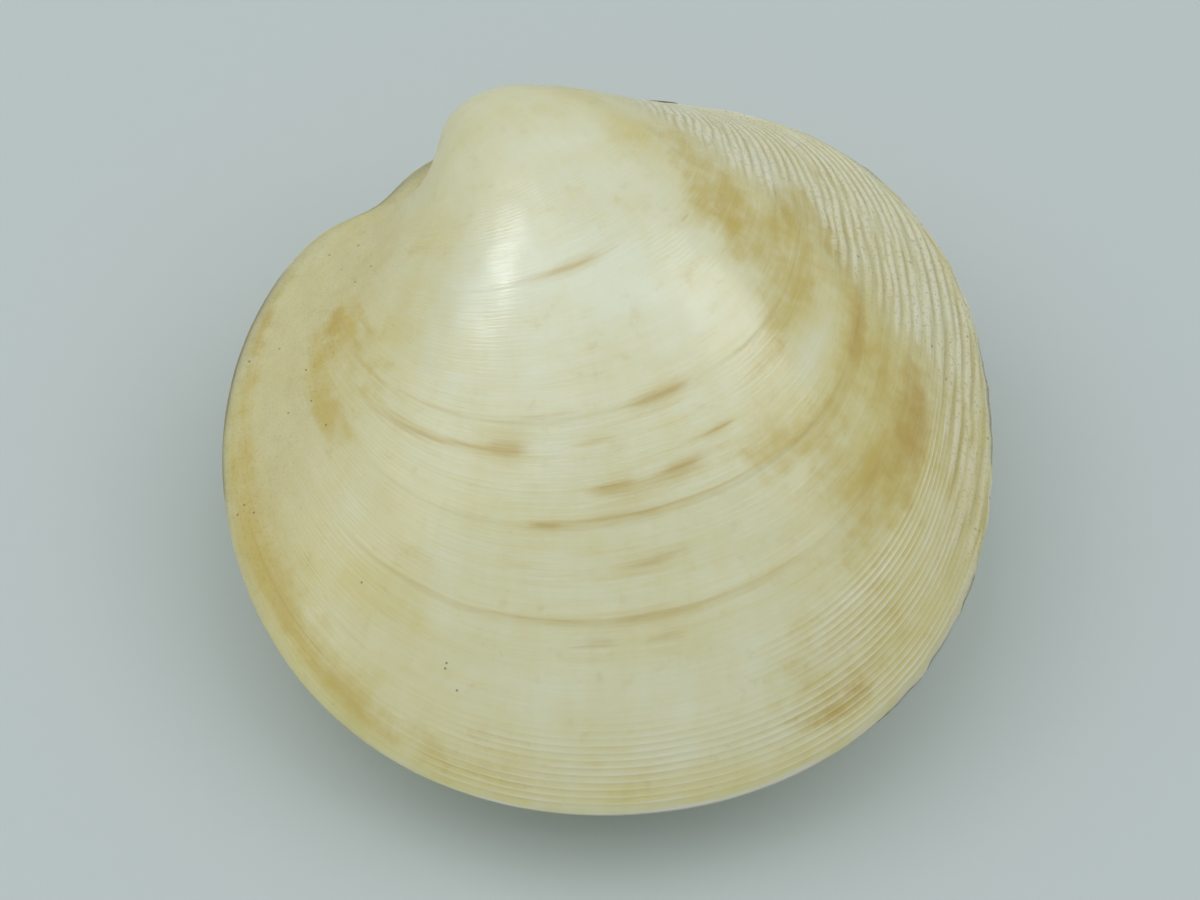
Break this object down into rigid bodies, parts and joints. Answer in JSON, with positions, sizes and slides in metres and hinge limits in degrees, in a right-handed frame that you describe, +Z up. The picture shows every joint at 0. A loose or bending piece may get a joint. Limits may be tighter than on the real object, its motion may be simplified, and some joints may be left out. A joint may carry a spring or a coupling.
{
  "type": "closed clam shell",
  "caption": "Closed pair of valves of a round clam with fine concentric ridges, lying on its lower valve with the umbo curled forward.",
  "frame": {"origin": "middle of the footprint box, on the surface the shell lies on", "axes": "+Z up; +X towards the shell's posterior end, +Y towards its hinge"},
  "size_m": [0.0462, 0.0462, 0.024],
  "materials": {
    "upper_shell": "polished aragonite, cream white with tan stains along the growth lines",
    "lower_shell": "polished aragonite, cream white with tan stains along the growth lines",
    "ligament": "dry horny brown, slightly glossy"
  },
  "bodies": {
    "root": {"left_valve": "upper_shell", "right_valve": "lower_shell", "ligament": "ligament"}
  },
  "joints": []
}
